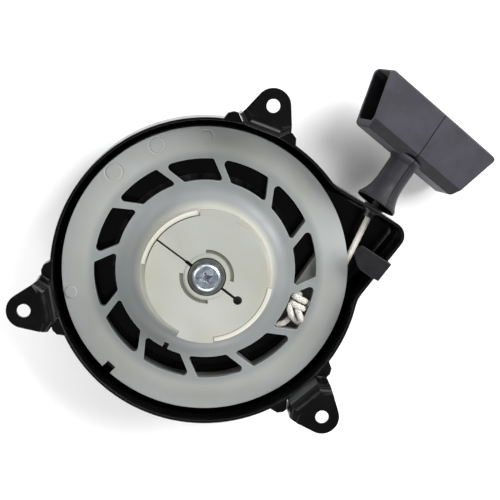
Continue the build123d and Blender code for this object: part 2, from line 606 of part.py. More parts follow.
def back_ribs(index):
    """Ribs behind the web: one from the boss outwards, one behind a bar between windows."""
    half, root, web = RIB_T / 2, BOSS_R - 0.5, WINDOW_IN - 2
    bottom = BACK_FACE_Z + 1.5
    deep = prism([(root, -half), (33.0, -half), (33.0, half), (root, half)],
                 bottom, CUP_FLOOR - 2.5)
    shallow = prism([(28.0, -half), (web, -half), (web, half), (28.0, half)],
                    bottom, FRONT_Z - WEB_T + 0.2)
    bar = (WINDOW_END + WINDOW_START + WINDOW_PITCH) / 2
    slant = (START_SLANT + END_SLANT) / 2
    ends = [polar(r, bar + slant * (r - WINDOW_MID_R)) for r in (WINDOW_IN - 3, DRUM_R - 1)]
    across = (ends[1] - ends[0]).normalized().cross(Vector(0, 0, 1)) * half
    corners = [ends[0] - across, ends[1] - across, ends[1] + across, ends[0] + across]
    behind_bar = prism([(c.X, c.Y) for c in corners], bottom, FRONT_Z - WEB_T + 0.2)
    spoke = Rot(0, 0, 15 + 2 * WINDOW_PITCH * index) * (deep + shallow)
    pair = [Rot(0, 0, WINDOW_PITCH * (2 * index + k)) * behind_bar for k in (0, 1)]
    return spoke + pair[0] + pair[1]


def moulded_marks():
    """Shallow ejector rings sunk in the rim's face."""
    rings = Part()
    for angle, radius, size in MARKS:
        at = polar(radius, angle)
        rings = rings + Pos(at.X, at.Y) * tube(size, size - 0.8, FRONT_Z - 0.2, FRONT_Z + 1)
    return rings


def rim_notches():
    """A notch in the flange's edge and a small one in the windows' inner edge."""
    depth = FRONT_Z - BACK_FACE_Z
    outer = Pos(FLANGE_R, 0, FRONT_Z - 1) * Box(2 * EDGE_NOTCH_D, EDGE_NOTCH_W, 6)
    inner = Pos(WINDOW_IN, 0, FRONT_Z - depth / 2) * Box(
        2 * INNER_NOTCH_D, INNER_NOTCH_W, depth + 4)
    return Rot(0, 0, EDGE_NOTCH_ANGLE) * outer + Rot(0, 0, INNER_NOTCH_ANGLE) * inner


def hook_slot():
    """Slot up the boss for the spring's inner end."""
    place = Pos(SPRING_IN - 2.2, 0, (BOSS_BOTTOM + SPRING_Z[1]) / 2)
    return Rot(0, 0, SLOT_ANGLE) * place * Box(4.4, 1.8, SPRING_Z[1] - BOSS_BOTTOM + 2)


def pulley():
    """Rope pulley with its drum, windows, hub cup, pawl pins and boss."""
    body = revolve(pulley_section(), Axis.Z) + knot_pocket()
    for index in range(RIBS):
        body = body + back_ribs(index)
    body = body - windows() + rope_ramp()
    body = body - rod(*knot_hole(), ROPE_R + 0.35)
    for a0, a1 in OUTLETS:
        body = body - sector(HUB_IN_R - 1, HUB_R + 1.2, a0, a1, CUP_FLOOR, HUB_TOP + 1)
    for angle in PAWL_PIVOT_ANGLES:
        at = polar(PAWL_PIVOT_R, angle)
        body = body + Pos(at.X, at.Y) * tube(PAWL_PIN_R, 0, CUP_FLOOR - 0.5, PAWL_Z[1] + 0.2)
    nub = polar(NUB_AT, NUB_ANGLE)
    body = body + Pos(nub.X, nub.Y) * tube(NUB_R, 0, FRONT_Z - 0.2, FRONT_Z + 0.45)
    return body - moulded_marks() - rim_notches() - hook_slot()


# ---------------------------------------------------------------- pawls and plate
def pawl_arm(root, tip):
    """Plan of a pawl's arm, from beside its eye round to the driving tip, as two angles."""
    mid = (root + tip) / 2 - 1.0
    tip_in = polar(PAWL_OUT_R - 3.0, tip - 1.5)
    outside = ThreePointArc(polar(PAWL_OUT_R, root), polar(PAWL_OUT_R, mid),
                            polar(PAWL_OUT_R, tip))
    inside = ThreePointArc(tip_in, polar(PAWL_IN_R, mid), polar(PAWL_ROOT_R, root))
    ends = Polyline(polar(PAWL_ROOT_R, root), polar(PAWL_OUT_R, root)) + Polyline(
        polar(PAWL_OUT_R, tip), tip_in)
    return make_face(ends + outside + inside)


def pawl(pivot_angle):
    """Ratchet pawl: an eye on its pin and a curved arm that ends in a driving tip."""
    at = polar(PAWL_PIVOT_R, pivot_angle)
    eye = Pos(at.X, at.Y) * tube(PAWL_EYE_R, 0, *PAWL_Z)
    arm = pawl_arm(pivot_angle + 2, pivot_angle + PAWL_TIP_ANGLE)
    arm = Pos(0, 0, PAWL_Z[0]) * extrude(arm, PAWL_Z[1] - PAWL_Z[0])
    bore = Pos(at.X, at.Y) * tube(PAWL_PIN_R + PIN_FIT, 0, PAWL_Z[0] - 1, PAWL_Z[1] + 1)
    return eye + arm - bore


def plate_slit():
    """Radial slit out to the plate's edge, widened at the bore."""
    slit = Pos(PLATE_BORE + 15, 0, PLATE_TOP - 3) * Box(34, 1.0, 14)
    mouth = Pos(PLATE_BORE + 1, 0, PLATE_TOP - 3) * Box(5, 1.9, 14)
    return Rot(0, 0, SLIT_ANGLE) * (slit + mouth)


def plate_keyhole():
    """Round hole with a narrow way in from the bore, opposite the slit."""
    half = KEYHOLE_AT - PLATE_BORE
    way = Pos(PLATE_BORE + half / 2 - 1, 0, PLATE_TOP - 3) * Box(half + 2, 1.4, 14)
    way = way + Pos(KEYHOLE_AT, 0) * tube(KEYHOLE_R, 0, PLATE_TOP - 8, PLATE_TOP + 6)
    return Rot(0, 0, SLIT_ANGLE + 179) * way


def friction_plate():
    """Plate over the pawls, with two lobes, a skirt round the spring and two cam lugs."""
    low = PLATE_TOP - PLATE_T
    body = tube(PLATE_R, 0, low, PLATE_TOP)
    for a0, a1 in LOBES:
        body = body + sector(PLATE_R - 2, LOBE_R, a0, a1, low, PLATE_TOP)
    body = body + tube(PLATE_SKIRT_R, 0, low - PLATE_SKIRT_H, PLATE_TOP + 0.6)
    body = body - tube(PLATE_BORE, 0, low - 10, PLATE_TOP + 5) - plate_slit() - plate_keyhole()
    for a0, a1 in PLATE_SLOTS:
        body = body - sector(PLATE_SLOT_R - PLATE_SLOT_W / 2, PLATE_SLOT_R + PLATE_SLOT_W / 2,
                             a0, a1, PLATE_TOP - 0.9, PLATE_TOP + 1)
    for angle in PAWL_PIVOT_ANGLES:
        at = polar(LUG_AT, angle + LUG_TURN)
        body = body + Pos(at.X, at.Y) * tube(LUG_R, 0, PAWL_Z[0] + 1.2, low + 0.5)
    return body


# ---------------------------------------------------------------- handle
def bar_prism(grow):
    """Plan of the bar, wider at its outer side, with rounded corners."""
    near, far = STEM_LEN - grow, STEM_LEN + BAR_H + grow
    face = make_face(Polyline((-BAR_NEAR / 2 - grow, near), (BAR_NEAR / 2 + grow, near),
                              (BAR_FAR / 2 + grow, far), (-BAR_FAR / 2 - grow, far), close=True))
    face = fillet(face.vertices(), BAR_CORNER_R)
    return extrude(face, BAR_T, both=True)


def bar_section(inset, floor):
    """Cross-section of the bar, long edges chamfered, extruded along the bar."""
    near, far = STEM_LEN + floor, STEM_LEN + BAR_H - inset
    half = BAR_T / 2 - inset
    hollow = floor > inset
    front = (HOLLOW_CHAMFER, HOLLOW_CHAMFER) if hollow else FRONT_CHAMFER
    crest = max(CREST_CHAMFER - inset * 0.6, 0.4)
    back_crest = BACK_CREST_CHAMFER - inset * 0.6
    pts = [(half - front[0], near), (half, near + front[1]), (half, far - crest),
           (half - crest, far), (back_crest - half, far), (-half, far - back_crest),
           (-half, near + BACK_CHAMFER[1]), (BACK_CHAMFER[0] - half, near)]
    face = make_face(Polyline(*[(0, y, z) for z, y in pts], close=True))
    return extrude(face, 60, dir=(1, 0, 0), both=True)


def stem_solid(inset):
    foot, neck = STEM_FOOT_R - inset, STEM_R - inset
    top = STEM_LEN + 1.5
    side = Polyline((0, 0), (foot, 0), (foot, 1.4))
    flare = ThreePointArc((foot, 1.4), (neck + 0.9, 7.6), (neck, 14.0))
    rest = Polyline((neck, 14.0), (neck, STEM_LEN - 2.6), (neck + 1.5, STEM_LEN),
                    (neck + 1.5, top), (0, top), (0, 0))
    return revolve(make_face(side + flare + rest), Axis.Y)


def handle_grip():
    """T grip: a hollow bar on a flared stem, with the mould's parting line round it."""
    outer = bar_prism(0) & bar_section(0, 0)
    solid = outer + stem_solid(0)
    thin = (bar_prism(-SEAM_D) & bar_section(SEAM_D, SEAM_D)) + stem_solid(SEAM_D)
    seam = (solid - thin) & Pos(0, STEM_LEN, 0) * Box(SEAM_W, 200, 60)
    hollow = bar_section(GRIP_WALL, GRIP_FLOOR)
    bore = Rot(-90, 0, 0) * Pos(0, 0, -1) * Cylinder(
        STEM_BORE_R, STEM_LEN + 20, align=(Align.CENTER, Align.CENTER, Align.MIN))
    dish = Rot(-90, 0, 0) * Cylinder(FOOT_DISH_R, 2 * FOOT_DISH_D)
    return handle_plane() * (solid - seam - hollow - bore - dish)


def handle_insert():
    """Steel retainer in the grip that the knot pulls against."""
    plate = Pos(0, STEM_LEN + GRIP_FLOOR + KNOT_GAP / 2, 0) * Box(INSERT_L, INSERT_T, INSERT_W)
    hole = Rot(-90, 0, 0) * Cylinder(STEM_BORE_R, 200)
    return handle_plane() * (plate - hole)


# ---------------------------------------------------------------- output
PARTS = {
    "starter_housing": housing,
    "center_post": center_post,
    "post_washer": post_washer,
    "post_rivet": post_rivet,
    "friction_collar": friction_collar,
    "friction_spring": friction_spring,
    "screw_washer": screw_washer,
    "center_screw": center_screw,
    "rope_eyelet": rope_eyelet,
    "rope_guide_clip": rope_guide_clip,
    "rope_run": rope_run,
    "rewind_spring": rewind_spring,
    "spring_cover": spring_cover,
    "pulley": pulley,
    "rope_coil": rope_coil,
    "rope_inner_knot": rope_inner_knot,
    "pawl_a": lambda: pawl(PAWL_PIVOT_ANGLES[0]),
    "pawl_b": lambda: pawl(PAWL_PIVOT_ANGLES[1]),
    "friction_plate": friction_plate,
    "rope_lead": rope_lead,
    "rope_outer_knot": rope_outer_knot,
    "handle_insert": handle_insert,
    "handle_grip": handle_grip,
}

if __name__ == "__main__":
    os.makedirs("parts", exist_ok=True)
    for name, make in PARTS.items():
        shape = make()
        shape.label = name
        export_step(shape, f"parts/{name}.step")
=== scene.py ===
"""Looks of a recoil starter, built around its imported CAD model.

Metres, in the model's own frame: the pulley's axis is Z, the open side faces +Z and the
starter lies on its closed back.
"""
import json
import math

import bpy
import numpy as np
from mathutils import Matrix, Vector


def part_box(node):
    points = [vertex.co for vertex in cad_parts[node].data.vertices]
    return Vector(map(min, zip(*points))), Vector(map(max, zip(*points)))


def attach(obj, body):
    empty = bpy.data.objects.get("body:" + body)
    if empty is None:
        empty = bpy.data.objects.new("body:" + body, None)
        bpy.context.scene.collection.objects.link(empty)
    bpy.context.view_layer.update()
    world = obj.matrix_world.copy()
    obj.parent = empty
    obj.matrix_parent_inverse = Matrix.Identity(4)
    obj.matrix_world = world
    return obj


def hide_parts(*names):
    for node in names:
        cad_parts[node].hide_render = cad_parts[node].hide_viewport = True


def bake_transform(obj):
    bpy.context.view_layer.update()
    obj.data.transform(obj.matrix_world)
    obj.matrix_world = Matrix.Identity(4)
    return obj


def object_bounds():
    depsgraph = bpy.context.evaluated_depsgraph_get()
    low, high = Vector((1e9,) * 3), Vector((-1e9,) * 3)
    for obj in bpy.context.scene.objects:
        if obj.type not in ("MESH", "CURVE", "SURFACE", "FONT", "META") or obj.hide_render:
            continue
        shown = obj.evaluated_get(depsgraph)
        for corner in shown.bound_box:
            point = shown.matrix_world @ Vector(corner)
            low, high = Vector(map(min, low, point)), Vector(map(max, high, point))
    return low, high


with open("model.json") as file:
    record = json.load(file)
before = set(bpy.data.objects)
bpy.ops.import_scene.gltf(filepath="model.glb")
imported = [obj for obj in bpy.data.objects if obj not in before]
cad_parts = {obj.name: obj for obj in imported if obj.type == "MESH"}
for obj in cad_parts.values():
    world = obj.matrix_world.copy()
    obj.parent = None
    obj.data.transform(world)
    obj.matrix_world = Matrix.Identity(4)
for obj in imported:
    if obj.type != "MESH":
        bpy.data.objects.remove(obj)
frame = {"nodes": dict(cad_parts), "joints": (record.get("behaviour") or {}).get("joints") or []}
cad_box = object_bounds()
nodes = frame["nodes"]
joints = {j["name"]: j for j in frame["joints"]}
MM = 0.001

stem = Vector(joints["handle_swivel"]["axis"]).normalized()     # up the grip's stem
stem_foot = Vector(joints["handle_swivel"]["pos_m"])


# ---------------------------------------------------------------- the CAD nodes' points
def node_points(node):
    """The vertices of a CAD node, as an array."""
    return np.array([v.co for v in nodes[node].data.vertices], float)


def rod_ends(node, direction):
    """Middle points of a straight rod's two end faces, the far one along direction last."""
    p = node_points(node)
    along = p @ np.array(direction)
    reach = along.max() - along.min()
    near = p[along < along.min() + 0.02 * reach].mean(axis=0)
    far = p[along > along.max() - 0.02 * reach].mean(axis=0)
    return Vector(near), Vector(far)


# ---------------------------------------------------------------- node helpers
def add(tree, kind, inputs=None, **settings):
    """A shader node with its settings, and its inputs linked or set."""
    node = tree.nodes.new(kind)
    for key, value in settings.items():
        setattr(node, key, value)
    for key, value in (inputs or {}).items():
        if isinstance(value, bpy.types.NodeSocket):
            tree.links.new(value, node.inputs[key])
        else:
            node.inputs[key].default_value = value
    return node


def math_node(tree, operation, *values):
    return add(tree, "ShaderNodeMath", dict(enumerate(values)), operation=operation).outputs[0]


def vector_math(tree, operation, *values):
    return add(tree, "ShaderNodeVectorMath", dict(enumerate(values)), operation=operation)


def coordinates(tree):
    return add(tree, "ShaderNodeTexCoord").outputs["Object"]


def height_at(tree):
    """Height of a point from the plane of the ears' faces."""
    return add(tree, "ShaderNodeSeparateXYZ", {0: coordinates(tree)}).outputs["Z"]


def radius_at(tree):
    """Distance of a point from the pulley's axis."""
    flat = vector_math(tree, "MULTIPLY", coordinates(tree), (1, 1, 0)).outputs[0]
    return vector_math(tree, "LENGTH", flat).outputs["Value"]


def along_axis(tree, origin, axis):
    """Distance of a point from an origin along an axis."""
    away = vector_math(tree, "SUBTRACT", coordinates(tree), tuple(origin)).outputs[0]
    return vector_math(tree, "DOT_PRODUCT", away, tuple(axis)).outputs["Value"]


def noise(tree, scale, detail=3.0, roughness=0.5, vector=None, distortion=0.0):
    """Noise with that many features per metre, from about 0.25 to 0.75."""
    vector = vector or coordinates(tree)
    return add(tree, "ShaderNodeTexNoise",
               {"Vector": vector, "Scale": scale, "Detail": detail, "Roughness": roughness,
                "Distortion": distortion}).outputs["Fac"]


def span(tree, value, low, high, to_low=0.0, to_high=1.0):
    """Maps low..high to to_low..to_high, and clamps."""
    return add(tree, "ShaderNodeMapRange",
               {"Value": value, "From Min": low, "From Max": high,
                "To Min": to_low, "To Max": to_high}).outputs["Result"]


def mix(tree, factor, a, b):
    """Colour mix; a and b are colours or sockets."""
    return add(tree, "ShaderNodeMix", {0: factor, 6: a, 7: b}, data_type="RGBA").outputs[2]


def tint(tree, base, mask, amount, colour):
    """Lays a colour over a base where a mask is 1, by that amount."""
    return mix(tree, math_node(tree, "MULTIPLY", mask, amount), base, colour)


def rgb(r, g, b):
    return (r, g, b, 1.0)


def bump(tree, height, distance, strength, normal=None):
    inputs = {"Height": height, "Distance": distance, "Strength": strength}
    if normal:
        inputs["Normal"] = normal
    return add(tree, "ShaderNodeBump", inputs).outputs["Normal"]


def rounded(tree, radius):
    """Normal of the surface with its edges rounded off, and a mask of those edges."""
    normal = add(tree, "ShaderNodeBevel", {"Radius": radius}, samples=6).outputs["Normal"]
    flat = add(tree, "ShaderNodeNewGeometry").outputs["True Normal"]
    dot = vector_math(tree, "DOT_PRODUCT", normal, flat)
    return normal, span(tree, dot.outputs["Value"], 0.985, 0.8)


def new_material(name, **constants):
    """A Principled material; its constants go on the shader's own sockets."""
    made = bpy.data.materials.new(name)
    made.use_nodes = True
    tree = made.node_tree
    shader = tree.nodes["Principled BSDF"]
    for socket, value in constants.items():
        shader.inputs[socket.replace("_", " ")].default_value = value
    return made, tree, shader


def link(tree, shader, **sockets):
    for socket, value in sockets.items():
        tree.links.new(value, shader.inputs[socket.replace("_", " ")])


def finished(made):
    """A material's tree, its shader, and the colour that reaches it."""
    shader = made.node_tree.nodes["Principled BSDF"]
    return made.node_tree, shader, shader.inputs["Base Color"].links[0].from_socket


# ---------------------------------------------------------------- materials
def black_paint():
    """Gloss black paint on pressed steel, with painted highlights along its edges."""
    made, tree, shader = new_material("gloss_black_paint", Specular_IOR_Level=0.22,
                                      Coat_Weight=0.05, Coat_Roughness=0.10)
    normal, edge = rounded(tree, 0.5 * MM)
    base = mix(tree, span(tree, noise(tree, 60, 4), 0.35, 0.65), rgb(.0012, .0012, .0013),
               rgb(.0026, .0026, .0028))
    # painted highlight: the edges are made paler, as where they catch the lamps
    base = tint(tree, base, edge, 0.6, rgb(.045, .045, .047))
    specks = span(tree, noise(tree, 1500, 2), 0.70, 0.78)
    base = tint(tree, base, specks, 0.2, rgb(.05, .05, .052))
    rough = span(tree, noise(tree, 220, 4), 0.3, 0.7, 0.16, 0.28)
    peel = bump(tree, noise(tree, 700, 2), 0.05 * MM, 0.35, normal)
    link(tree, shader, Base_Color=base, Roughness=rough, Normal=peel)
    return made


# where the pulley's look changes: radii from its axis, heights from the ears' plane
HUB_CREAM_R = (40.5 * MM, 35.0 * MM)
HUB_CREAM_Z = (-31.0 * MM, -24.0 * MM)
# the ring of painted highlight round the foot of the hub wall
HUB_HIGHLIGHT_R = (39.0 * MM, 35.6 * MM)
WEB_END_R = (61.0 * MM, 64.5 * MM)
RIM_EDGE_R = (69.0 * MM, 76.5 * MM)
# heights where the painted shade deep in the pulley sets in and is full
SHADE_DEPTH_Z = (-33.4 * MM, -37.0 * MM)


def nylon():
    """Moulded natural nylon: milky and slightly translucent, creamier in the thick hub."""
    made, tree, shader = new_material("white_nylon", Subsurface_Weight=0.25,
                                      Subsurface_Radius=(1.0, 0.9, 0.7),
                                      Subsurface_Scale=2.2 * MM, Specular_IOR_Level=0.45)
    normal, edge = rounded(tree, 0.5 * MM)
    radius, height = radius_at(tree), height_at(tree)
    cloud = span(tree, noise(tree, 28, 3, distortion=0.6), 0.35, 0.65)
    web = mix(tree, cloud, rgb(.205, .219, .223), rgb(.188, .198, .193))
    # painted highlight: a paler ring just outside the hub wall
    hub_highlight = span(tree, radius, *HUB_HIGHLIGHT_R)
    web = tint(tree, web, hub_highlight, 0.5, rgb(.36, .37, .35))
    rim = mix(tree, cloud, rgb(.262, .270, .250), rgb(.282, .294, .290))
    outer = span(tree, radius, *RIM_EDGE_R)
    rim = mix(tree, outer, rim, rgb(.30, .312, .308))
    base = mix(tree, span(tree, radius, *WEB_END_R), web, rim)
    cream = mix(tree, cloud, rgb(.50, .495, .445), rgb(.44, .435, .365))
    hub = math_node(tree, "MULTIPLY", span(tree, radius, *HUB_CREAM_R),
                    span(tree, height, *HUB_CREAM_Z))
    base = mix(tree, hub, base, cream)
    # painted highlight: the edges are made paler, as on the window edges catching the lamps
    base = tint(tree, base, edge, 0.6, rgb(.52, .53, .49))
    # painted shade: darker deep down in the windows and under the front flange
    deep_shade = span(tree, height, *SHADE_DEPTH_Z)
    base = tint(tree, base, deep_shade, 0.75, rgb(.10, .105, .09))
    scuff = span(tree, noise(tree, 260, 5, 0.65), 0.58, 0.72)
    base = tint(tree, base, scuff, 0.10, rgb(.22, .23, .21))
    rough = span(tree, noise(tree, 90, 4), 0.3, 0.7, 0.38, 0.55)
    grain = bump(tree, noise(tree, 1600, 3), 0.03 * MM, 0.25, normal)
    link(tree, shader, Base_Color=base, Roughness=rough, Normal=grain)
    return made


def cream_plastic():
    """Cream moulding of the friction plate, with painted shade in its slots and painted
    highlights on its edges.
    """
    made, tree, shader = new_material("cream_plastic", Subsurface_Weight=0.15,
                                      Subsurface_Radius=(1.0, 0.85, 0.6),
                                      Subsurface_Scale=1.5 * MM)
    normal, edge = rounded(tree, 0.35 * MM)
    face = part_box("friction_plate")[1].z - 0.6 * MM     # below the plate's raised lip
    cloud = span(tree, noise(tree, 45, 4), 0.35, 0.65)
    base = mix(tree, cloud, rgb(.290, .298, .272), rgb(.276, .280, .244))
    outer = span(tree, radius_at(tree), 20.0 * MM, 33.0 * MM)
    stain = span(tree, noise(tree, 26, 4, distortion=0.8), 0.46, 0.68)
    base = tint(tree, base, stain, outer, rgb(.285, .275, .205))
    pale = span(tree, noise(tree, 17, 2), 0.50, 0.66)
    base = tint(tree, base, pale, 0.6, rgb(.365, .368, .345))
    # painted shade: darker below the plate's face, down in its slots
    sunk = span(tree, height_at(tree), face - 0.15 * MM, face - 0.7 * MM)
    base = tint(tree, base, sunk, 0.8, rgb(.105, .108, .075))
    # painted highlight on the plate's edges
    base = tint(tree, base, edge, 0.45, rgb(.45, .45, .41))
    rough = span(tree, noise(tree, 120, 3), 0.3, 0.7, 0.35, 0.5)
    grain = bump(tree, noise(tree, 1900, 2), 0.02 * MM, 0.25, normal)
    link(tree, shader, Base_Color=base, Roughness=rough, Normal=grain)
    return made


def shaded(tree, base, reach, amount, dark):
    """Painted shade: darkens a colour in hollows and inside corners, where shadow gathers."""
    node = add(tree, "ShaderNodeAmbientOcclusion", {"Distance": reach}, samples=6)
    covered = span(tree, node.outputs["AO"], 0.82, 0.48)
    return tint(tree, base, covered, amount, dark)


def satin_plastic(name, dark, light, roughness, grain_scale):
    """Dark moulded plastic with a fine grain, painted highlights on its edges and painted shade
    in its hollows.
    """
    made, tree, shader = new_material(name, Specular_IOR_Level=0.22)
    normal, edge = rounded(tree, 0.45 * MM)
    cloud = span(tree, noise(tree, 70, 4), 0.35, 0.65)
    base = mix(tree, cloud, dark, light)
    lint = span(tree, noise(tree, 900, 3), 0.66, 0.76)
    base = tint(tree, base, lint, 0.25, rgb(.12, .12, .13))
    # painted highlight: the edges are made paler
    edge_highlight = [min(1.0, c * 1.9) for c in light[:3]] + [1.0]
    base = tint(tree, base, edge, 0.4, edge_highlight)
    # painted shade, near black deep in hollows such as the grip's open ends
    base = shaded(tree, base, 26 * MM, 0.97, rgb(.0015, .0015, .002))
    rough = math_node(tree, "ADD", span(tree, noise(tree, 300, 4), 0.3, 0.7, -0.06, 0.06),
                      roughness)
    grain = bump(tree, noise(tree, grain_scale, 3), 0.04 * MM, 0.5, normal)
    link(tree, shader, Base_Color=base, Roughness=rough, Normal=grain)
    return made


BEVEL_RUN, BEVEL_DEPTH = 4.2, 5.2       # the grip's stem-side bevel, as in the CAD
PARTING_LINE = (0.50 * MM, 0.22 * MM)   # half widths where the line starts and is full
NEAR_FACE_AT = (24 * MM, 27 * MM)       # up the stem, where the bar's near face starts
STEM_DARK_AT = (28.6 * MM, 26.5 * MM)   # up the stem, where its darker colour fades out


def grip_finish():
    """The grip's plastic, with its dark parting line, painted shade on its stem-side bevel,
    painted light on its near face and a darker stem.
    """
    made = satin_plastic("grip_rubber", rgb(.022, .0213, .028), rgb(.033, .0315, .041), 0.50,
                         900.0)
    tree, shader, base = finished(made)
    insert = node_points("handle_insert")
    bar = Vector(np.linalg.svd(insert - insert.mean(axis=0))[2][0])
    face = bar.cross(stem).normalized()
    face = face if face.z > 0 else -face
    bevel = (face * BEVEL_DEPTH - stem * BEVEL_RUN).normalized()
    normal = add(tree, "ShaderNodeTexCoord").outputs["Normal"]
    to_bevel = vector_math(tree, "DOT_PRODUCT", normal, tuple(bevel)).outputs["Value"]
    to_foot = vector_math(tree, "DOT_PRODUCT", normal, tuple(-stem)).outputs["Value"]
    off_line = math_node(tree, "ABSOLUTE", along_axis(tree, stem_foot, bar))
    up_stem = along_axis(tree, stem_foot, stem)
    near_face = math_node(tree, "MULTIPLY", span(tree, to_foot, 0.97, 0.995),
                          span(tree, up_stem, *NEAR_FACE_AT))
    base = tint(tree, base, span(tree, off_line, *PARTING_LINE), 0.9, rgb(.006, .006, .008))
    # painted shade: the stem-side bevel, which faces away from the lamps, is made near black
    base = tint(tree, base, span(tree, to_bevel, 0.93, 0.985), 0.85, rgb(.004, .004, .005))
    # painted light: the bar's near face by the stem's foot is made paler, as where the floor's
    # bounce lights it
    base = tint(tree, base, near_face, 0.6, rgb(.11, .11, .12))
    # the stem is made darker, from there down to its foot
    base = tint(tree, base, span(tree, up_stem, *STEM_DARK_AT), 0.62, rgb(.004, .004, .005))
    link(tree, shader, Base_Color=base)
    return made


def steel(name, dark, light, roughness, turned=True, edge_light=0.5):
    """Metal with turning or rolling lines and painted highlights on its edges."""
    made, tree, shader = new_material(name, Metallic=1.0)
    normal, edge = rounded(tree, 0.25 * MM)
    stretch = (60, 60, 3000) if turned else (900, 900, 900)
    lines = vector_math(tree, "MULTIPLY", coordinates(tree), stretch)
    streak = noise(tree, 1.0, 3, vector=lines.outputs[0])
    stain = span(tree, noise(tree, 240, 4), 0.4, 0.65)
    base = mix(tree, stain, dark, light)
    # painted highlight on the edges
    base = tint(tree, base, edge, edge_light, rgb(.85, .86, .88))
    rough = math_node(tree, "ADD", span(tree, streak, 0.3, 0.7, -0.08, 0.1), roughness)
    link(tree, shader, Base_Color=base, Roughness=rough,
         Normal=bump(tree, streak, 0.02 * MM, 0.4, normal))
    return made


def screw_finish():
    """Blue-white zinc on the screw, with patchy painted shade in its cross recess and under its
    head.
    """
    made = steel("zinc_screw", rgb(.36, .41, .48), rgb(.66, .73, .82), 0.34, turned=False)
    tree, shader, base = finished(made)
    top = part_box("center_screw")[1].z
    # painted shade, in patches, below the head's top
    sunk = span(tree, height_at(tree), top - 0.35 * MM, top - 0.9 * MM)
    patchy_shade = span(tree, noise(tree, 900, 3), 0.35, 0.6, 0.0, 0.7)
    link(tree, shader, Base_Color=tint(tree, base, sunk, patchy_shade, rgb(.06, .07, .085)))
    return made


def yarn():
    """One strand of the braided rope: twisted off-white filaments with grey flecks."""
    made, tree, shader = new_material("rope_yarn", Roughness=0.78, Sheen_Weight=0.35,
                                      Sheen_Roughness=0.5, Specular_IOR_Level=0.25)
    fleck = span(tree, noise(tree, 850, 2), 0.60, 0.70)
    soft = span(tree, noise(tree, 160, 3), 0.35, 0.65)
    base = mix(tree, soft, rgb(.66, .64, .60), rgb(.56, .54, .49))
    base = tint(tree, base, fleck, 0.6, rgb(.22, .21, .20))
    # painted shade in the crevices between the strands
    base = shaded(tree, base, 0.9 * MM, 0.85, rgb(.10, .095, .085))
    fibre = noise(tree, 4200, 2)
    link(tree, shader, Base_Color=base, Normal=bump(tree, fibre, 0.05 * MM, 0.6))
    return made


def braid_material():
    """Braid drawn in a tube's surface, for the long rope that only shows when pulled or wound."""
    made, tree, shader = new_material("rope_braid", Roughness=0.78, Sheen_Weight=0.35,
                                      Sheen_Roughness=0.5, Specular_IOR_Level=0.25)
    cells = add(tree, "ShaderNodeTexVoronoi", {"Vector": coordinates(tree), "Scale": 950.0},
                feature="F1", distance="EUCLIDEAN")
    dome = span(tree, cells.outputs["Distance"], 0.0, 0.75, 1.0, 0.0)
    soft = span(tree, noise(tree, 160, 3), 0.35, 0.65)
    base = mix(tree, soft, rgb(.42, .41, .385), rgb(.34, .33, .305))
    # painted shade in the gaps between the drawn strands
    gap = span(tree, dome, 0.35, 0.1)
    base = tint(tree, base, gap, 0.75, rgb(.12, .115, .105))
    # painted shade where the rope lies in hollows, as in the stem's foot
    base = shaded(tree, base, 12 * MM, 0.9, rgb(.05, .05, .045))
    link(tree, shader, Base_Color=base, Normal=bump(tree, dome, 0.25 * MM, 0.9))
    return made


# ---------------------------------------------------------------- ropes
def frames_along(points):
    """A polyline as an array, with two side vectors that don't twist along it."""
    p = np.array(points, float)
    tangent = np.gradient(p, axis=0)
    tangent /= np.linalg.norm(tangent, axis=1)[:, None]
    side = np.cross(tangent[0], (0.3, 0.5, 0.81))
    sides = []
    for t in tangent:
        side = side - t * np.dot(side, t)
        side /= np.linalg.norm(side)
        sides.append(side)
    sides = np.array(sides)
    return p, sides, np.cross(tangent, sides)


def smooth_path(points, spacing):
    """Evenly spaced points of the smooth NURBS curve over given ones."""
    curve = bpy.data.curves.new("route", "CURVE")
    curve.dimensions = "3D"
    spline = curve.splines.new("NURBS")
    spline.points.add(len(points) - 1)
    for slot, point in zip(spline.points, points):
        slot.co = (*point, 1.0)
    spline.order_u = 3
    spline.use_endpoint_u = True
    spline.resolution_u = 24
    holder = bpy.data.objects.new("route", curve)
    bpy.context.scene.collection.objects.link(holder)
    bpy.context.view_layer.update()
    line = bpy.data.meshes.new_from_object(holder)
    p = np.array([v.co for v in line.vertices], float)
    bpy.data.objects.remove(holder)
    bpy.data.curves.remove(curve)
    bpy.data.meshes.remove(line)
    return resample(p, spacing)


def resample(p, spacing):
    """Evenly spaced points along a polyline."""
    p = np.array(p, float)
    steps = np.linalg.norm(np.diff(p, axis=0), axis=1)
    reach = np.concatenate(([0], np.cumsum(steps)))
    count = max(3, int(round(reach[-1] / spacing)) + 1)
    at = np.linspace(0, reach[-1], count)
    return np.stack([np.interp(at, reach, p[:, k]) for k in range(3)], axis=1)


def tube_mesh(centres, sides, ups, half_w, half_t, around):
    """Vertices and faces of a flattened tube along given centres."""
    verts, faces = [], []
    for c, s, u in zip(centres, sides, ups):
        for k in range(around):
            a = 2 * math.pi * k / around
            verts.append(c + s * half_w * math.cos(a) + u * half_t * math.sin(a))
    rings = len(centres)
    for i in range(rings - 1):
        for k in range(around):
            j = (k + 1) % around
            faces.append((i * around + k, i * around + j, (i + 1) * around + j,
                          (i + 1) * around + k))
    faces.append(tuple(range(around))[::-1])
    faces.append(tuple((rings - 1) * around + k for k in range(around)))
    return verts, faces


def mesh_object(name, verts, faces, material, smooth=True):
    mesh = bpy.data.meshes.new(name)
    mesh.from_pydata([tuple(v) for v in verts], [], faces)
    mesh.update()
    for polygon in mesh.polygons:
        polygon.use_smooth = smooth
    mesh.materials.append(material)
    made = bpy.data.objects.new(name, mesh)
    bpy.context.scene.collection.objects.link(made)
    return made


ROPE_R = 1.75 * MM
STRANDS = 6                 # strands each way round the braid
BRAID_PITCH = 11.0 * MM     # one strand's turn round the rope
CORE_SHARE = 0.80           # the core's radius as a share of the rope's


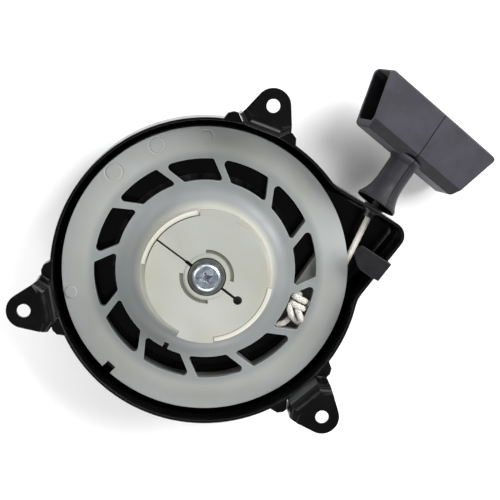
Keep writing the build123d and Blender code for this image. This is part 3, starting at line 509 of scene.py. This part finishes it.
def braided_rope(name, path, radius, material):
    """A rope with a core and real interlaced strands, closed at its ends."""
    p, side, up = frames_along(path)
    steps = np.linalg.norm(np.diff(p, axis=0), axis=1)
    reach = np.concatenate(([0], np.cumsum(steps)))
    verts, faces = tube_mesh(p, side, up, radius * CORE_SHARE, radius * CORE_SHARE, 12)
    half_t = radius * 0.15
    half_w = math.pi * radius / STRANDS * 0.60
    for way in (1, -1):
        for n in range(STRANDS):
            turn = way * (2 * math.pi * reach / BRAID_PITCH) + 2 * math.pi * n / STRANDS
            lift = way * np.sin(2 * math.pi * STRANDS * reach / BRAID_PITCH + math.pi * n)
            outward = side * np.cos(turn)[:, None] + up * np.sin(turn)[:, None]
            r = radius - half_t * 1.35 + 0.35 * half_t * lift
            centre = p + outward * r[:, None]
            run = np.gradient(centre, axis=0)
            run /= np.linalg.norm(run, axis=1)[:, None]
            across = np.cross(outward, run)
            more, quads = tube_mesh(centre, across, outward, half_w, half_t, 6)
            shift = len(verts)
            verts += more
            faces += [tuple(i + shift for i in face) for face in quads]
    return mesh_object(name, verts, faces, material)


def plain_rope(name, line, around):
    """A tube of the rope's size, for the long rope; its braid is in the material."""
    centres, sides, ups = frames_along(line)
    verts, faces = tube_mesh(centres, sides, ups, ROPE_R * 0.985, ROPE_R * 0.985, around)
    made = mesh_object(name, verts, faces, braid)
    return made


# ---------------------------------------------------------------- the CAD pieces' finishes
def dress(material, *names):
    for name in names:
        mesh = nodes[name].data
        mesh.materials.clear()
        mesh.materials.append(material)


turned_steel = steel("turned_steel", rgb(.42, .42, .43), rgb(.58, .58, .60), 0.32)
blued_strip = steel("blued_spring_steel", rgb(.10, .11, .15), rgb(.22, .24, .30), 0.30)
black_oxide = steel("black_oxide_steel", rgb(.03, .03, .033), rgb(.07, .07, .075), 0.42,
                    turned=False, edge_light=0.25)
clip_plastic = satin_plastic("clip_plastic", rgb(.007, .007, .008), rgb(.011, .0105, .0125), 0.42,
                             1200.0)
grey_zinc = steel("grey_zinc", rgb(.11, .115, .10), rgb(.16, .165, .15), 0.55, turned=False,
                  edge_light=0.2)
braid = braid_material()
rope_yarn = yarn()

dress(black_paint(), "starter_housing")
dress(nylon(), "pulley")
dress(cream_plastic(), "friction_plate")
dress(turned_steel, "center_post", "post_washer", "post_rivet", "friction_collar",
      "handle_insert")
dress(screw_finish(), "center_screw")
dress(blued_strip, "rewind_spring", "friction_spring")
dress(black_oxide, "rope_eyelet", "spring_cover", "pawl_a", "pawl_b")
dress(clip_plastic, "rope_guide_clip")
dress(grip_finish(), "handle_grip")
dress(grey_zinc, "screw_washer")

# ---------------------------------------------------------------- the rope's pieces

# the straight run inside the pan, from the coil to the eyelet
p = node_points("rope_run")
run_dir = np.linalg.svd(p - p.mean(axis=0))[2][0]
run_dir = run_dir if run_dir @ np.array(stem) > 0 else -run_dir
run_start, run_end = rod_ends("rope_run", run_dir)
run = braided_rope("rope_run_braid", resample([run_start, run_end], 0.5 * MM), ROPE_R, rope_yarn)
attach(run, "housing")
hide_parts("rope_run")

# the rope that pays out: it stretches from the eyelet to the stem's foot, then goes up the
# stem to the knot with the grip
lead_start, lead_end = rod_ends("rope_lead", stem)
RINGS = 440                 # along the stretch, so that it stays smooth when pulled
stem_mouth = stem_foot + stem * 2 * MM
line = resample([run_end, lead_start, stem_mouth], (stem_mouth - run_end).length / RINGS)
paying_out = plain_rope("rope_paying_out", line, 20)
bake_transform(paying_out)
in_stem = plain_rope("rope_in_stem",
                     resample([stem_foot + stem * 1.2 * MM, lead_end], 1.0 * MM), 20)
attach(in_stem, "pull_rope")
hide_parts("rope_lead")


WRAP_POINTS = 12            # along each turn of a knot


def inner_knot():
    """The stopper knot in the pulley's pocket: two wraps, a loop below, a tail in the corner."""
    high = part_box("rope_inner_knot")[1]
    centre = Vector((49.8, -22.4, -35.2)) * MM
    hole = Vector((high.x, high.y - ROPE_R, centre.z - 1.2 * MM))
    lean = Vector((0.26, 0.966, 0))
    side = Vector((0.966, -0.26, 0))
    wraps = []
    for k in range(22):
        angle = 2 * math.pi * k / WRAP_POINTS
        wraps.append(side * 3.4 * math.cos(angle) + lean * (0.4 + 0.35 * k)
                     + Vector((0, 0, 2.5 * math.sin(angle))))
    start = [(6.4, -1.0, -3.0), (4.6, -1.2, -1.4)]
    loop = [(0.8, 5.6, -1.2), (0.6, 2.6, -0.4), (0.3, -0.8, 2.0), (1.5, -4.0, 2.9),
            (2.9, -7.4, 1.3), (1.0, -8.4, -1.4), (-2.0, -5.6, -0.4), (-4.0, -1.8, 2.1),
            (-4.1, 1.8, 1.4), (-2.2, 2.8, -1.6), (-1.4, -1.6, -2.8), (-3.8, -6.4, -2.4)]
    tail = [(-6.8, -8.4, -2.2), (-9.4, -9.6, -2.4), (-11.0, -10.4, -2.8)]
    points = [hole] + [centre + Vector(v) * MM for v in (*start, *wraps, *loop, *tail)]
    made = braided_rope("rope_inner_knot_braid", smooth_path(points, 0.45 * MM), ROPE_R,
                        rope_yarn)
    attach(made, "pulley")
    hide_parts("rope_inner_knot")


WRAP_R = 2.7 * MM           # the outer knot's wraps, at the rope's middle
WRAP_PITCH = 3.6 * MM
WRAP_TURNS = 1.5


def outer_knot():
    """The knot inside the grip: the rope wraps its own core, then goes back down through it."""
    near = (Vector((0, 0, 1)) - stem * stem.z).normalized()
    side = near.cross(stem)
    centre = lead_end + stem * 5.4 * MM
    top = WRAP_PITCH * WRAP_TURNS / 2

    def at(across, high, lift):
        return centre + side * across + stem * high + near * lift

    entry = [lead_end - stem * 0.5 * MM, lead_end + stem * 1.0 * MM - near * 1.2 * MM]
    wraps = []
    for k in range(int(WRAP_POINTS * WRAP_TURNS) + 1):
        angle = 2 * math.pi * (k / WRAP_POINTS - 0.25)
        wraps.append(at(WRAP_R * math.cos(angle), WRAP_PITCH * k / WRAP_POINTS - top,
                        WRAP_R * math.sin(angle)))
    back = [at(0.8 * WRAP_R, top + 0.55 * WRAP_PITCH, -0.3 * WRAP_R),
            at(0.35 * WRAP_R, top + 1.15 * WRAP_PITCH, 0.25 * WRAP_R),
            at(-0.1 * WRAP_R, top + 0.75 * WRAP_PITCH, 0.15 * WRAP_R),
            at(0, 0.3 * top, 0), at(0, -top, 0), at(0, -top - 0.6 * WRAP_PITCH, 0)]
    tail = at(0, -4.4 * MM, 2.0 * MM)
    points = [*entry, *wraps, *back, tail]
    made = braided_rope("rope_outer_knot_braid", smooth_path(points, 0.6 * MM), ROPE_R, rope_yarn)
    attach(made, "pull_rope")
    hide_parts("rope_outer_knot")


HOLE_ANGLE = math.radians(-17.0)    # where the rope comes through the drum's wall
COIL_TURNS = 4
COIL_POINTS = 1100
CROSSING = 0.14             # the share of a turn in which the rope steps across or up
LAYER_STEP = 3.2 * MM       # from the three turns side by side to the one on top
LAYER_DROP = 1.6 * MM       # how far towards the open side the top turn lies
LEAVE_AT = 3.55             # turns after which the rope heads for the eyelet
LEAVE_OUT = 0.55 * MM


def ease(value, start, end):
    """0 up to start, 1 from end on, and a smooth step between."""
    t = max(0.0, min(1.0, (value - start) / (end - start)))
    return t * t * (3 - 2 * t)


def wound_rope():
    """The turns in the groove: three side by side, stepping across, and one on top."""
    low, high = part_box("rope_coil")
    inner_r = high.x - ROPE_R - LAYER_STEP
    first_z, last_z = high.z - ROPE_R, low.z + ROPE_R
    pitch = (first_z - last_z) / 2
    end = math.atan2(run_start.y, run_start.x) + 2 * math.pi * COIL_TURNS
    turns = (end - HOLE_ANGLE) / (2 * math.pi)
    line = []
    for k in range(COIL_POINTS + 1):
        t = turns * k / COIL_POINTS
        whole = min(int(t), 2)
        across = whole + ease(t - whole, 1 - CROSSING, 1)
        climb = ease(t, 3 - CROSSING, 3)
        leave = ease(t, LEAVE_AT, turns)
        z = first_z - pitch * min(2.0, across) + climb * LAYER_DROP
        z += leave * (run_start.z - z)
        r = inner_r + climb * LAYER_STEP + leave * LEAVE_OUT
        angle = HOLE_ANGLE + (end - HOLE_ANGLE) * k / COIL_POINTS
        line.append(Vector((r * math.cos(angle), r * math.sin(angle), z)))
    made = plain_rope("rope_coil_wound", line, 14)
    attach(made, "pulley")
    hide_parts("rope_coil")


inner_knot()
outer_knot()
wound_rope()

# ---------------------------------------------------------------- stage, light and camera
FLOOR_GAP = 0.1 * MM        # keeps the floor's face off the starter's back
FLOOR_HALF = 9.0
LIGHT_TARGET = Vector((0, 0, -0.02))
LIGHTS = (                  # name, place, width, height, watts
    ("right", (1.30, 0.70, 1.10), 1.2, 1.2, 52.0),
    ("left", (-1.30, 0.45, 1.00), 1.0, 1.2, 15.0),
    ("rear", (0.05, 1.7, 1.15), 1.8, 0.8, 17.0),
    ("front", (-0.1, -1.6, 1.05), 1.6, 0.8, 27.0))
LENS = 93.6                 # mm, on a sensor 36 mm wide
CAMERA_PLACE = (-0.01706, 0.11815, 0.65878)
CAMERA_TILT = (-8.852, -3.4025)     # degrees about its own X, then about Y


def floor():
    """A plain pale floor under the starter's closed back."""
    low = cad_box[0][2] - FLOOR_GAP
    made, tree, shader = new_material("pale_floor", Roughness=0.9, Specular_IOR_Level=0.1)
    grain = span(tree, noise(tree, 14, 3), 0.3, 0.7)
    link(tree, shader, Base_Color=mix(tree, grain, rgb(.93, .93, .93), rgb(.95, .95, .95)))
    corners = [(x * FLOOR_HALF, y * FLOOR_HALF, low)
               for x, y in ((-1, -1), (1, -1), (1, 1), (-1, 1))]
    ground = mesh_object("floor", corners, [(0, 1, 2, 3)], made, smooth=False)


def soft_light(name, position, width, height, power):
    data = bpy.data.lights.new(name, "AREA")
    data.shape = "RECTANGLE"
    data.size, data.size_y = width, height
    data.energy = power
    lamp = bpy.data.objects.new(name, data)
    lamp.location = position
    lamp.rotation_euler = (LIGHT_TARGET - Vector(position)).to_track_quat("-Z", "Y").to_euler()
    bpy.context.scene.collection.objects.link(lamp)


def studio():
    world = bpy.data.worlds.new("studio")
    bpy.context.scene.world = world
    world.use_nodes = True
    background = world.node_tree.nodes["Background"]
    background.inputs["Color"].default_value = (1.0, 1.0, 1.0, 1.0)
    background.inputs["Strength"].default_value = 0.20
    bpy.context.scene.view_settings.view_transform = "Standard"
    for light in LIGHTS:
        soft_light(*light)


def camera():
    """A long lens above the open side, leaning a little towards the handle's side."""
    data = bpy.data.cameras.new("camera")
    data.sensor_width = 36.0
    data.lens = LENS
    data.clip_start = 0.05
    made = bpy.data.objects.new("camera", data)
    about_x, about_y = (math.radians(angle) for angle in CAMERA_TILT)
    made.matrix_world = (Matrix.Translation(CAMERA_PLACE) @ Matrix.Rotation(about_y, 4, "Y")
                         @ Matrix.Rotation(about_x, 4, "X"))
    bpy.context.scene.collection.objects.link(made)
    bpy.context.scene.camera = made


floor()
studio()
camera()
